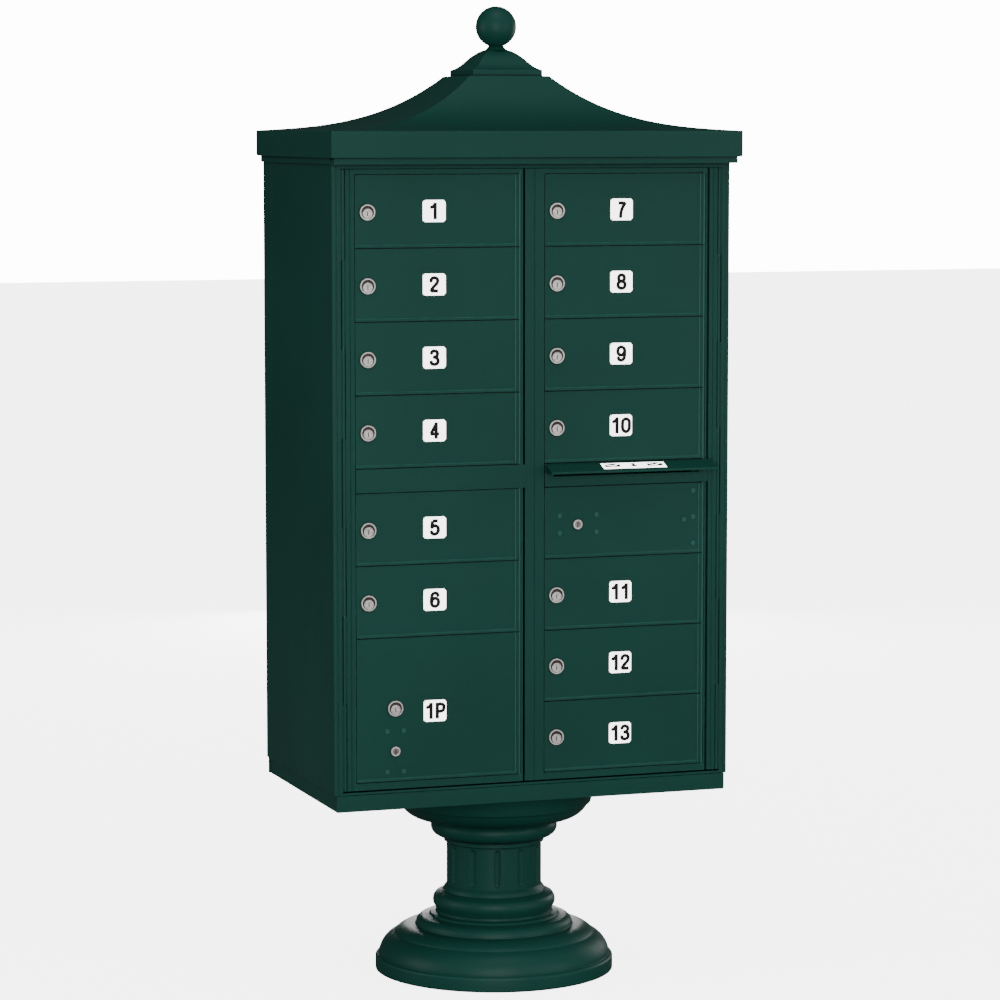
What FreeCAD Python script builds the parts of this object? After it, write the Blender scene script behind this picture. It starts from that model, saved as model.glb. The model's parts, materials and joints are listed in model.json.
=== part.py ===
import FreeCAD, Part
import math
import os

# Pedestal cluster mailbox: a steel cabinet on a round pedestal, closed in front by two hinged loading
# leaves that carry thirteen tenant doors, one parcel door and one outgoing-mail door.
# Frame: millimetres, origin at the centre of the pedestal foot on the ground, +Z up, front faces -Y.
# Depth "v" is measured backwards from the front face of the cabinet, so y = FRONT + v.

V = FreeCAD.Vector
INCH = 25.4

# ---- driving dimensions -------------------------------------------------------------------------
CABINET_WIDTH = 30.5 * INCH
CABINET_DEPTH = 18.0 * INCH
PEDESTAL_HEIGHT = 14.25 * INCH
DOOR_PITCH = 5.25 * INCH
SHEET = 3.0

# ---- cabinet ------------------------------------------------------------------------------------
FRONT = -CABINET_DEPTH / 2
BACK = CABINET_DEPTH / 2
HALF_WIDTH = CABINET_WIDTH / 2
CORNER_RADIUS = 3.0
PAN_INSET = 5.0
PAN_LIP = 5.5
SILL_TOP = PEDESTAL_HEIGHT + 30.4
FLANGE_BOTTOM = PEDESTAL_HEIGHT + 31.0
CABINET_TOP = PEDESTAL_HEIGHT + 1185.0

# ---- door grid ----------------------------------------------------------------------------------
GRID_TOP = 1526.0
BAND_HEIGHT = 44.7
UPPER_ROWS = 4
BAND_TOP = GRID_TOP - UPPER_ROWS * DOOR_PITCH
BAND_BOTTOM = BAND_TOP - BAND_HEIGHT
GRID_BOTTOM = BAND_BOTTOM - 4 * DOOR_PITCH
DOOR_GAP = 2.35
COLUMN_EDGE = {"left": -344.25, "right": 20.35}
DOOR_TO_AXIS = 315.35

# ---- loading leaves -----------------------------------------------------------------------------
LEAF_EDGE = 362.4
LEAF_BOTTOM = 401.0
LEAF_TOP = 1535.0
FOOT_GAP = 3.4
LEFT_LEAF_INNER = -22.4
RIGHT_LEAF_INNER = -18.2
STOP = 4.8
LEAF_DEPTH = 21.0
STOP_REACH = 10.8
RAIL_HALF = 7.0
LEAF_AXIS_X = 366.6
LEAF_AXIS_V = 2.0
LEAF_BARREL = 3.5
LEAF_ROD = 1.9
KNUCKLES = 7

# ---- doors --------------------------------------------------------------------------------------
DOOR_AXIS_V = 1.4
DOOR_BARREL = 2.6
DOOR_ROD = 1.25
ROD_CLEARANCE = 0.08
EAR_THICKNESS = 1.6
BEAD_FROM_AXIS = 8.1
BEAD_RADIUS = 1.6
STIFFENER_DEPTH = 2.0
PLATE_WIDTH = 43.5
PLATE_HEIGHT = 39.8
PLATE_FROM_EDGE = 150.3

# ---- locks --------------------------------------------------------------------------------------
LOCK_FROM_EDGE = 23.2
BEZEL_RADIUS = 14.3
BEZEL_PROUD = 3.2
PLUG_RADIUS = 7.5
PLUG_DROP = 2.5
SMALL_BEZEL_RADIUS = 8.8
SMALL_PLUG_RADIUS = 6.0
PLUG_CLEARANCE = 0.06
CAM_FRONT = 9.5
CAM_THICKNESS = 2.0
CAM_WIDTH = 12.0

# ---- outgoing-mail slot -------------------------------------------------------------------------
HOOD_LEFT = 22.0
HOOD_RIGHT = 352.0
HOOD_BACK = -1.2
HOOD_TOP = 991.4
HOOD_LIP_TOP = 978.5
HOOD_LIP_BOTTOM = 974.5
HOOD_REACH = 37.0
SLOT_LEFT = 38.0
SLOT_RIGHT = 328.0
SLOT_BOTTOM = 968.0
SLOT_TOP = 984.0

# ---- latch --------------------------------------------------------------------------------------
LATCH_X = 0.4
LATCH_Z = 880.0
PINION_RADIUS = 7.0
LATCH_ROD_WIDTH = 5.0

# ---- compartments -------------------------------------------------------------------------------
SHELF_FRONT = FRONT + 30.6
SHELF_BACK = BACK - 6.0
LINER_X = 352.0
SHELF_THICKNESS = 2.0

# ---- roof ---------------------------------------------------------------------------------------
ROOF_Y = -12.5
ROOF_HALF_X = 398.0
ROOF_HALF_Y = 251.5
FASCIA_BOTTOM = 1556.0
FASCIA_TOP = 1604.0
ROOF_RISE = 101.5
CUPOLA_LEDGE = 78.2
CUPOLA_HALF = 68.2
CUPOLA_STEP_TOP = 1716.8
CUPOLA_TOP = 1753.3
BELL_CURVE = [(1.0, 0.0), (0.84, 0.15), (0.70, 0.39), (0.575, 0.64), (0.447, 0.84), (0.31, 1.0)]
BED_MOULD_INSET = 7.0
BALL_RADIUS = 38.3
BALL_Z = 1797.9

# ---- pedestal -----------------------------------------------------------------------------------
SHAFT_RADIUS = 91.0
FLUTES = 12
FLUTE_RADIUS = 8.0
FLUTE_DEPTH = 4.0
POST_SIDE = 4.0 * INCH
POST_WALL = 4.8
ANCHOR_SPACING = 9.0 * INCH
ANCHOR_HOLE_RADIUS = 7.15
FOOT_PLATE_SIDE = 11.0 * INCH
FOOT_PLATE = 9.5
HEAD_PLATE_SIDE = 8.0 * INCH
HEAD_BOLT_SPACING = 6.0 * INCH


# ---- general helpers ----------------------------------------------------------------------------
def box(x0, x1, y0, y1, z0, z1):
    return Part.makeBox(x1 - x0, y1 - y0, z1 - z0, V(x0, y0, z0))


def panel(x0, x1, v0, v1, z0, z1):
    """A box placed by its depth v behind the cabinet front."""
    return box(x0, x1, FRONT + v0, FRONT + v1, z0, z1)


def round_bar(x, z, radius, v0, v1):
    """A cylinder running front to back."""
    return Part.makeCylinder(radius, v1 - v0, V(x, FRONT + v0, z), V(0, 1, 0))


def upright_bar(x, v, radius, z0, z1):
    """A vertical cylinder placed by its depth."""
    return Part.makeCylinder(radius, z1 - z0, V(x, FRONT + v, z0), V(0, 0, 1))


def upright_prism(points, z0, z1):
    """Extrudes an (x, v) outline upwards."""
    corners = [V(x, FRONT + v, z0) for x, v in points]
    face = Part.Face(Part.makePolygon(corners + corners[:1]))
    return face.extrude(V(0, 0, z1 - z0))


def level_prism(points, x0, x1):
    """Extrudes a (v, z) outline along X."""
    corners = [V(x0, FRONT + v, z) for v, z in points]
    face = Part.Face(Part.makePolygon(corners + corners[:1]))
    return face.extrude(V(x1 - x0, 0, 0))


def revolved(points):
    """Turns an (r, z) outline about the Z axis; a point given as a 4-tuple is an arc through its middle."""
    edges = []
    last = points[0]
    for point in points[1:] + points[:1]:
        start = V(last[-2], 0, last[-1])
        end = V(point[-2], 0, point[-1])
        if len(point) == 4:
            edges.append(Part.Arc(start, V(point[0], 0, point[1]), end).toShape())
        else:
            edges.append(Part.makeLine(start, end))
        last = point
    return Part.Face(Part.Wire(edges)).revolve(V(0, 0, 0), V(0, 0, 1), 360)


def fused(shapes):
    return shapes[0].fuse(shapes[1:]).removeSplitter() if len(shapes) > 1 else shapes[0]


def largest(shape):
    return max(shape.Solids, key=lambda solid: solid.Volume)


def export(name, solids):
    shape = solids[0] if len(solids) == 1 else Part.makeCompound(solids)
    shape.exportStep("parts/" + name + ".step")


def round_upright_edges(shape, places, radius):
    """Fillets the vertical edges that pass through the given (x, y) places."""
    edges = []
    for edge in shape.Edges:
        low, high = edge.BoundBox.ZMin, edge.BoundBox.ZMax
        centre = edge.BoundBox.Center
        near = any(abs(centre.x - x) < 0.1 and abs(centre.y - y) < 0.1 for x, y in places)
        if high - low > radius and near:
            edges.append(edge)
    return shape.makeFillet(radius, edges)


# ---- pedestal -----------------------------------------------------------------------------------
def pedestal_base():
    outline = [
        (0.0, 0.0), (228.5, 0.0), (228.5, 24.0), (226.0, 27.5), (221.5, 29.0), (221.5, 33.0),
        (212.0, 54.0, 191.0, 69.0), (190.0, 72.0), (177.0, 80.5, 161.0, 84.0), (151.0, 84.5),
        (150.5, 87.5), (146.0, 97.5, 134.0, 102.5), (124.0, 104.5), (122.5, 108.0), (112.0, 110.0),
        (112.0, 115.0), (0.0, 115.0),
    ]
    hollow = [(0.0, -1.0), (218.0, -1.0), (218.0, 24.0), (188.0, 62.0), (148.0, 86.0), (84.0, 104.0),
              (84.0, 116.0), (0.0, 116.0)]
    return revolved(outline).cut(revolved(hollow))


def flute(angle):
    """A round-ended groove cutter standing beside the shaft at one angle."""
    reach = SHAFT_RADIUS + FLUTE_RADIUS - FLUTE_DEPTH
    x = reach * math.sin(angle)
    y = -reach * math.cos(angle)
    bar = Part.makeCylinder(FLUTE_RADIUS, 60.0, V(x, y, 176.0))
    ends = [Part.makeSphere(FLUTE_RADIUS, V(x, y, z)) for z in (176.0, 236.0)]
    return bar.fuse(ends)


def pedestal_shaft():
    outline = [
        (84.0, 115.0), (111.0, 115.0), (113.5, 121.0), (117.5, 135.0, 112.0, 146.0), (98.0, 152.0),
        (96.0, 158.0), (SHAFT_RADIUS, 164.0), (SHAFT_RADIUS, 245.0), (96.0, 248.0), (96.0, 256.0),
        (84.0, 256.0),
    ]
    shaft = revolved(outline)
    step = 2 * math.pi / FLUTES
    for index in range(FLUTES):
        shaft = shaft.cut(flute((index + 0.5) * step))
    return shaft


def pedestal_capital():
    outline = [
        (84.0, 256.0), (100.0, 256.0), (105.5, 259.0), (121.5, 277.0, 108.0, 294.5), (108.0, 296.5),
        (128.0, 297.5), (165.0, 303.5, 181.5, 323.0), (186.0, 324.5), (190.0, 340.0),
        (198.0, PEDESTAL_HEIGHT), (190.0, PEDESTAL_HEIGHT), (178.0, 336.0), (156.0, 311.0), (84.0, 300.0),
    ]
    return revolved(outline)


def corner_places(spacing):
    half = spacing / 2
    return [(x, y) for x in (-half, half) for y in (-half, half)]


def pedestal_post():
    """Square steel tube standing between a drilled foot plate and a drilled head plate."""
    side = FOOT_PLATE_SIDE / 2
    head = HEAD_PLATE_SIDE / 2
    half = POST_SIDE / 2
    bore = half - POST_WALL
    top = PEDESTAL_HEIGHT - FOOT_PLATE
    foot = box(-side, side, -side, side, 0, FOOT_PLATE)
    tube = box(-half, half, -half, half, FOOT_PLATE, top)
    tube = tube.cut(box(-bore, bore, -bore, bore, FOOT_PLATE, top))
    cap = box(-head, head, -head, head, top, PEDESTAL_HEIGHT)
    for x, y in corner_places(ANCHOR_SPACING):
        foot = foot.cut(Part.makeCylinder(ANCHOR_HOLE_RADIUS, FOOT_PLATE, V(x, y, 0)))
    for x, y in corner_places(HEAD_BOLT_SPACING):
        cap = cap.cut(Part.makeCylinder(6.6, FOOT_PLATE, V(x, y, top)))
    return [foot, tube, cap]


def hexagon(x, y, z0, z1, across_flats):
    radius = across_flats / math.sqrt(3)
    corners = [V(x + radius * math.cos(i * math.pi / 3), y + radius * math.sin(i * math.pi / 3), z0)
               for i in range(7)]
    return Part.Face(Part.makePolygon(corners)).extrude(V(0, 0, z1 - z0))


def head_bolts():
    """Bolts that clamp the cabinet pan to the head plate, each with its nut below."""
    plate_bottom = PEDESTAL_HEIGHT - FOOT_PLATE
    pan_top = PEDESTAL_HEIGHT + 2 * SHEET
    solids = []
    for x, y in corner_places(HEAD_BOLT_SPACING):
        shank = Part.makeCylinder(6.0, pan_top - plate_bottom + 14.0, V(x, y, plate_bottom - 14.0))
        solids.append(shank.fuse(hexagon(x, y, pan_top, pan_top + 7.5, 19.0)))
        nut = hexagon(x, y, plate_bottom - 10.0, plate_bottom, 19.0)
        solids.append(nut.cut(Part.makeCylinder(6.05, 12.0, V(x, y, plate_bottom - 11.0))))
    return solids


# ---- cabinet ------------------------------------------------------------------------------------
def bottom_pan():
    """Welded tray under the cabinet, narrower than the walls: drilled floor, front sill and two sides
    whose thick, low upper lips stand inside the cabinet walls."""
    narrow = HALF_WIDTH - PAN_INSET
    rear = BACK - SHEET
    floor = box(-narrow, narrow, FRONT, rear, PEDESTAL_HEIGHT, PEDESTAL_HEIGHT + 2 * SHEET)
    for x, y in corner_places(HEAD_BOLT_SPACING):
        floor = floor.cut(Part.makeCylinder(6.6, 2 * SHEET, V(x, y, PEDESTAL_HEIGHT)))
    pieces = [floor, box(-narrow, narrow, FRONT, FRONT + SHEET, PEDESTAL_HEIGHT, SILL_TOP)]
    for side in (-1, 1):
        inner = side * (narrow - SHEET)
        outer = side * narrow
        lip = side * (HALF_WIDTH - SHEET)
        pieces.append(box(min(inner, outer), max(inner, outer), FRONT, rear, PEDESTAL_HEIGHT, SILL_TOP))
        pieces.append(box(min(inner, lip), max(inner, lip), FRONT + 10, rear, SILL_TOP, SILL_TOP + PAN_LIP))
    return fused(pieces)


def side_panel(side):
    """Side wall with its bent front flange and the fixed hinge knuckles; side is -1 or +1."""
    outer = side * HALF_WIDTH
    inner = side * (HALF_WIDTH - SHEET)
    flange_edge = side * (LEAF_AXIS_X + LEAF_BARREL + 0.8)
    wall = box(min(outer, inner), max(outer, inner), FRONT, BACK, FLANGE_BOTTOM, CABINET_TOP)
    flange = panel(min(outer, flange_edge), max(outer, flange_edge), 0, SHEET, FLANGE_BOTTOM,
                   CABINET_TOP)
    body = round_upright_edges(fused([wall, flange]), [(outer, FRONT)], CORNER_RADIUS)
    crease = side * (HALF_WIDTH - 7.8)
    body = body.cut(panel(crease - 0.6, crease + 0.6, 0, 0.8, FLANGE_BOTTOM, CABINET_TOP))
    return body.fuse(knuckles(side, 0, side * (LEAF_AXIS_X + LEAF_BARREL + 1.0))).removeSplitter()


def knuckles(side, first, web_end):
    """Every second barrel of the leaf hinge, each with a web reaching to web_end."""
    axis = side * LEAF_AXIS_X
    pitch = (LEAF_TOP - LEAF_BOTTOM) / KNUCKLES
    solids = []
    for index in range(first, KNUCKLES, 2):
        z0 = LEAF_BOTTOM + index * pitch + 0.4
        z1 = LEAF_BOTTOM + (index + 1) * pitch - 0.4
        barrel = upright_bar(axis, LEAF_AXIS_V, LEAF_BARREL, z0, z1)
        web = panel(min(axis, web_end), max(axis, web_end), 0.4, SHEET, z0, z1)
        bore = upright_bar(axis, LEAF_AXIS_V, LEAF_ROD + ROD_CLEARANCE, z0 - 1, z1 + 1)
        solids.append(barrel.fuse(web).cut(bore))
    return solids


def leaf_hinge_rods():
    return [upright_bar(side * LEAF_AXIS_X, LEAF_AXIS_V, LEAF_ROD, LEAF_BOTTOM, LEAF_TOP)
            for side in (-1, 1)]


def back_panel():
    side = HALF_WIDTH - SHEET
    return box(-side, side, BACK - SHEET, BACK, PEDESTAL_HEIGHT, CABINET_TOP)


def front_rails():
    """Head and threshold rails of the cabinet mouth, each slotted for a latch rod."""
    side = LEAF_AXIS_X + LEAF_BARREL + 0.8
    head = [(0, LEAF_TOP + 1), (0, CABINET_TOP - SHEET), (26, CABINET_TOP - SHEET),
            (26, LEAF_TOP + 5), (SHEET, LEAF_TOP + 5), (SHEET, LEAF_TOP + 1)]
    foot = [(0, LEAF_BOTTOM - FOOT_GAP), (0, FLANGE_BOTTOM), (26, FLANGE_BOTTOM), (26, FLANGE_BOTTOM + 3),
            (SHEET, FLANGE_BOTTOM + 3), (SHEET, LEAF_BOTTOM - FOOT_GAP)]
    slot = 0.5
    rails = []
    for outline, rod_x in ((head, -latch_offset()), (foot, latch_offset())):
        rail = level_prism(outline, -side, side)
        left = LATCH_X + rod_x - LATCH_ROD_WIDTH / 2 - slot
        right = left + LATCH_ROD_WIDTH + 2 * slot
        rails.append(rail.cut(panel(left, right, 5.5, 12.5, 350, 1600)))
    return rails


def cabinet_top():
    side = HALF_WIDTH - SHEET
    return box(-side, side, FRONT + SHEET, BACK - SHEET, CABINET_TOP - SHEET, CABINET_TOP)


def compartment_partitions():
    """Two liners and a centre wall that divide the cabinet into two stacks of compartments."""
    walls = []
    for x0, x1 in ((-LINER_X - 2, -LINER_X), (-1.0, 1.0), (LINER_X, LINER_X + 2)):
        walls.append(box(x0, x1, SHELF_FRONT, SHELF_BACK, GRID_BOTTOM - 1, GRID_TOP + 1))
    return walls


def shelf_levels(column):
    upper = [GRID_TOP - row * DOOR_PITCH for row in range(UPPER_ROWS + 1)]
    if column == "left":
        lower = [BAND_BOTTOM, BAND_BOTTOM - DOOR_PITCH, BAND_BOTTOM - 2 * DOOR_PITCH]
    else:
        lower = [BAND_BOTTOM - row * DOOR_PITCH for row in (1, 2, 3)]
    return upper + lower + [GRID_BOTTOM]


def compartment_shelves():
    solids = []
    half = SHELF_THICKNESS / 2
    for column, x0, x1 in (("left", -LINER_X, -1.0), ("right", 1.0, LINER_X)):
        for z in shelf_levels(column):
            solids.append(box(x0, x1, SHELF_FRONT, SHELF_BACK, z - half, z + half))
    return solids


# ---- roof ---------------------------------------------------------------------------------------
def roof_profile(edge, shift, drop):
    """Half outline of the concave roof: (distance from centre, height) from the fascia inwards."""
    points = []
    for index in range(13):
        s = 1 - index / 12
        rise = 18.0 * (1 - s) + (ROOF_RISE - 18.0) * (1 - s) ** 3
        points.append((CUPOLA_LEDGE + (edge - CUPOLA_LEDGE) * s - shift, FASCIA_TOP + rise - drop))
    return points


def smooth_edge(points):
    """One spline edge through all the points."""
    curve = Part.BSplineCurve()
    curve.interpolate(points)
    return curve.toShape()


def roof_prism(half, axis, shift, drop, bottom):
    """Symmetric roof section with curved slopes, extruded past the roof along the other axis."""
    right = roof_profile(half, shift, drop)
    left = [(-a, z) for a, z in reversed(right)]

    def place(a, z):
        return V(a, -500, z) if axis == "x" else V(-500, a + ROOF_Y, z)

    edges = [smooth_edge([place(a, z) for a, z in right]),
             Part.makeLine(place(*right[-1]), place(*left[0])),
             smooth_edge([place(a, z) for a, z in left]),
             Part.makeLine(place(*left[-1]), place(left[-1][0], bottom)),
             Part.makeLine(place(left[-1][0], bottom), place(right[0][0], bottom)),
             Part.makeLine(place(right[0][0], bottom), place(*right[0]))]
    direction = V(0, 1000, 0) if axis == "x" else V(1000, 0, 0)
    return Part.Face(Part.Wire(edges)).extrude(direction)


def roof_canopy():
    """Hollow sheet roof: upright fascia, underside flange and four concave slopes."""
    outer = roof_prism(ROOF_HALF_X, "x", 0, 0, FASCIA_BOTTOM)
    outer = outer.common(roof_prism(ROOF_HALF_Y, "y", 0, 0, FASCIA_BOTTOM))
    inner = roof_prism(ROOF_HALF_X, "x", SHEET, SHEET, FASCIA_BOTTOM + SHEET)
    inner = inner.common(roof_prism(ROOF_HALF_Y, "y", SHEET, SHEET, FASCIA_BOTTOM + SHEET))
    mouth = box(-HALF_WIDTH, HALF_WIDTH, FRONT, BACK, FASCIA_BOTTOM - 1, FASCIA_BOTTOM + SHEET)
    return outer.cut(inner).cut(mouth)


def bed_mould():
    """Four trim bars around the cabinet head, just below the roof edge."""
    x1 = ROOF_HALF_X - BED_MOULD_INSET
    y0 = ROOF_Y - ROOF_HALF_Y + BED_MOULD_INSET
    y1 = ROOF_Y + ROOF_HALF_Y - BED_MOULD_INSET
    z0, z1 = FASCIA_BOTTOM - 12.0, FASCIA_BOTTOM
    return [
        box(-x1, x1, y0, FRONT, z0, z1),
        box(-x1, x1, BACK, y1, z0, z1),
        box(-x1, -HALF_WIDTH, FRONT, BACK, z0, z1),
        box(HALF_WIDTH, x1, FRONT, BACK, z0, z1),
    ]


def cupola_prism(axis):
    """Stepped, bell-shaped section of the cupola, extruded along the other axis."""
    base = FASCIA_TOP + ROOF_RISE
    rise = CUPOLA_TOP - CUPOLA_STEP_TOP
    slope = [(CUPOLA_HALF * across, CUPOLA_STEP_TOP + rise * up) for across, up in BELL_CURVE]
    mirrored = [(-a, z) for a, z in reversed(slope)]

    def place(a, z):
        return V(a, ROOF_Y - 100, z) if axis == "x" else V(-100, a + ROOF_Y, z)

    edges = [smooth_edge([place(a, z) for a, z in side]) for side in (slope, mirrored)]
    corners = [mirrored[-1], (-CUPOLA_HALF, base), (CUPOLA_HALF, base), slope[0]]
    edges += [Part.makeLine(place(*corners[i]), place(*corners[i + 1])) for i in range(3)]
    edges.insert(1, Part.makeLine(place(*slope[-1]), place(*mirrored[0])))
    edges = Part.__sortEdges__(edges)
    direction = V(0, 200, 0) if axis == "x" else V(200, 0, 0)
    return Part.Face(Part.Wire(edges)).extrude(direction)


def roof_cupola():
    return cupola_prism("x").common(cupola_prism("y"))


def roof_finial():
    """Ball on a flared neck."""
    low = CUPOLA_TOP
    outline = [(0, low), (25.0, low), (18.0, low + 3.5, 14.0, low + 9.0), (14.0, low + 12), (0, low + 12)]
    neck = revolved(outline)
    neck.translate(V(0, ROOF_Y, 0))
    return neck.fuse(Part.makeSphere(BALL_RADIUS, V(0, ROOF_Y, BALL_Z)))


# ---- loading leaves -----------------------------------------------------------------------------
def latch_offset():
    """Distance of each latch rod centre from the pinion centre."""
    return PINION_RADIUS + 0.5 + LATCH_ROD_WIDTH / 2


def axis_x(column):
    return COLUMN_EDGE[column] + DOOR_TO_AXIS


def stop_stile(edge, face):
    """Flush stile with a rear stop for the lock side of the doors; runs right from its outer edge."""
    reach = face + STOP_REACH
    outline = [(0, 0), (face / 2 - 1, 0), (face / 2, 0.8), (face / 2 + 1, 0), (face, 0), (face, STOP),
               (reach, STOP), (reach, STOP + SHEET), (face - SHEET, STOP + SHEET),
               (face - SHEET, SHEET), (SHEET, SHEET), (SHEET, LEAF_DEPTH), (0, LEAF_DEPTH)]
    return upright_prism([(edge + u, v) for u, v in outline], LEAF_BOTTOM, LEAF_TOP)


def left_hinge_stile():
    """Narrow hinge-side stile of the left leaf; the strip beside the door barrels stays in front."""
    outline = [(0, 0), (3.3, 0), (3.3, STOP), (26, STOP), (26, STOP + SHEET), (3, STOP + SHEET),
               (3, LEAF_DEPTH), (0, LEAF_DEPTH)]
    return upright_prism([(LEFT_LEAF_INNER - u, v) for u, v in outline], LEAF_BOTTOM, LEAF_TOP)


def right_hinge_stile():
    """Wide hinge-side stile of the right leaf: flush face, sunk channel, then the barrel strip."""
    outline = [(0, 0), (7, 0), (8, 0.8), (9, 0), (16, 0), (16, STOP), (20.7, STOP), (20.7, 0),
               (23.5, 0), (23.5, STOP), (46, STOP), (46, STOP + SHEET), (13, STOP + SHEET),
               (13, SHEET), (SHEET, SHEET), (SHEET, LEAF_DEPTH), (0, LEAF_DEPTH)]
    return upright_prism([(LEAF_EDGE - u, v) for u, v in outline], LEAF_BOTTOM, LEAF_TOP)


def door_cells(column):
    """Height spans (bottom, top) of every cell in one column, from the top down."""
    levels = [GRID_TOP - row * DOOR_PITCH for row in range(UPPER_ROWS + 1)]
    cells = [(levels[row + 1], levels[row]) for row in range(UPPER_ROWS)]
    steps = (1, 1, 2) if column == "left" else (1, 1, 1, 1)
    top = BAND_BOTTOM
    for step in steps:
        cells.append((top - step * DOOR_PITCH, top))
        top -= step * DOOR_PITCH
    return cells


def hinge_ears(column):
    """Drilled ears between the doors that hold the door hinge rod."""
    axis = axis_x(column)
    levels = sorted({z for cell in door_cells(column) for z in cell})
    ears = []
    for z in levels:
        z0, z1 = z - EAR_THICKNESS / 2, z + EAR_THICKNESS / 2
        ear = panel(axis - DOOR_BARREL, axis + 3.3, -0.9, STOP + 1, z0, z1)
        ears.append(ear.cut(upright_bar(axis, DOOR_AXIS_V, DOOR_ROD + ROD_CLEARANCE, z0 - 1, z1 + 1)))
    return ears


def rails(column, left, right):
    """Cross rails: a bar behind every gap, and deep flush rails at the head and foot."""
    head = [(0, GRID_TOP + 0.8), (STOP, GRID_TOP + 0.8), (STOP, GRID_TOP - RAIL_HALF),
            (STOP + SHEET, GRID_TOP - RAIL_HALF), (STOP + SHEET, LEAF_TOP), (0, LEAF_TOP)]
    foot = [(0, GRID_BOTTOM - 0.8), (STOP, GRID_BOTTOM - 0.8), (STOP, GRID_BOTTOM + RAIL_HALF),
            (STOP + SHEET, GRID_BOTTOM + RAIL_HALF), (STOP + SHEET, LEAF_BOTTOM), (0, LEAF_BOTTOM)]
    levels = sorted({z for cell in door_cells(column) for z in cell})
    bars = [level_prism(head, left, right), level_prism(foot, left, right)]
    for z in levels[1:-1]:
        bars.append(panel(left, right, STOP, STOP + SHEET, z - RAIL_HALF, z + RAIL_HALF))
    return bars


def door_blank(column, z0, z1, depth):
    """Door plate from its free edge to the hinge barrel, with a drip lip and a bead on its face."""
    edge = COLUMN_EDGE[column]
    axis = axis_x(column)
    outline = [(0, z1), (0, z0 + 5.2), (-1.2, z0 + 3.4), (-1.2, z0), (depth, z0), (depth, z1)]
    plate = level_prism(outline, edge, axis - BEAD_FROM_AXIS - 2)
    tail = panel(axis - BEAD_FROM_AXIS - 2, axis, 0, SHEET, z0, z1)
    bead = upright_bar(axis - BEAD_FROM_AXIS, 0.4, BEAD_RADIUS, z0, z1)
    barrel = upright_bar(axis, DOOR_AXIS_V, DOOR_BARREL, z0, z1)
    bore = upright_bar(axis, DOOR_AXIS_V, DOOR_ROD + ROD_CLEARANCE, z0 - 1, z1 + 1)
    return fused([plate, tail, bead, barrel]).cut(bore)


def band_panel(column):
    """Fixed cover across the band between the upper and lower doors, standing over the hinge rod."""
    left = COLUMN_EDGE[column]
    right = RIGHT_LEAF_INNER - 0.7 if column == "left" else LEAF_EDGE - 17.2
    cover = panel(left, right, HOOD_BACK, STOP, BAND_BOTTOM + 1.0, BAND_TOP - 1.0)
    return cover.cut(upright_bar(axis_x(column), DOOR_AXIS_V, DOOR_ROD + ROD_CLEARANCE, 900, 1000))


def slotted_band_panel():
    return band_panel("right").cut(panel(SLOT_LEFT, SLOT_RIGHT, -5, 10, SLOT_BOTTOM, SLOT_TOP))


def rod_guide(rod_x, z):
    """Small block with a square passage for one latch rod."""
    half = LATCH_ROD_WIDTH / 2
    block = panel(rod_x - half - 2, rod_x + half + 2, SHEET, 14, z - 6, z + 6)
    passage = panel(rod_x - half - 0.1, rod_x + half + 0.1, 5.9, 12.1, z - 7, z + 7)
    return block.cut(passage)


def latch_guides():
    up, down = LATCH_X - latch_offset(), LATCH_X + latch_offset()
    return ([rod_guide(up, z) for z in (920.0, 1200.0, 1500.0)]
            + [rod_guide(down, z) for z in (840.0, 640.0, 440.0)])


def latch_bracket():
    """Plate across the mullion that carries the latch handle shaft."""
    outline = [(RIGHT_LEAF_INNER + SHEET, 14.5), (19.0, 14.5), (19.0, STOP + SHEET),
               (21.0, STOP + SHEET), (21.0, 17.0), (RIGHT_LEAF_INNER + SHEET, 17.0)]
    plate = upright_prism(outline, LATCH_Z - 12, LATCH_Z + 12)
    return plate.cut(round_bar(LATCH_X, LATCH_Z, 4.0 + ROD_CLEARANCE, 10, 20))


def leaf_frame(column):
    """Stiles, rails, hinge ears, leaf knuckles and small fixed parts of one loading leaf."""
    if column == "left":
        latch_side = stop_stile(-LEAF_EDGE, LEAF_EDGE + COLUMN_EDGE["left"] - 1.35)
        hinge_side = left_hinge_stile()
        latch_side = latch_side.fuse(knuckles(-1, 1, -LEAF_EDGE + 0.5))
        left, right = -LEAF_EDGE + SHEET, LEFT_LEAF_INNER - 3.3
        extras = [band_panel("left")]
    else:
        latch_side = stop_stile(RIGHT_LEAF_INNER, COLUMN_EDGE["right"] - 1.35 - RIGHT_LEAF_INNER)
        hinge_side = right_hinge_stile()
        hinge_side = hinge_side.fuse(knuckles(1, 1, LEAF_EDGE - 0.5))
        left, right = COLUMN_EDGE["right"] - 1.35, LEAF_EDGE - 23.5
        extras = [latch_bracket()] + latch_guides()
    hinge_side = hinge_side.fuse(hinge_ears(column))
    hinge_side = hinge_side.cut(band_panel(column)).removeSplitter()
    bars = [rail.cut(latch_side).cut(hinge_side) for rail in rails(column, left, right)]
    bars = [largest(bar) for bar in bars]
    return [latch_side.removeSplitter(), hinge_side] + bars + extras


def door_hinge_rod(column):
    over = EAR_THICKNESS / 2
    return upright_bar(axis_x(column), DOOR_AXIS_V, DOOR_ROD, GRID_BOTTOM - over, GRID_TOP + over)


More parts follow.
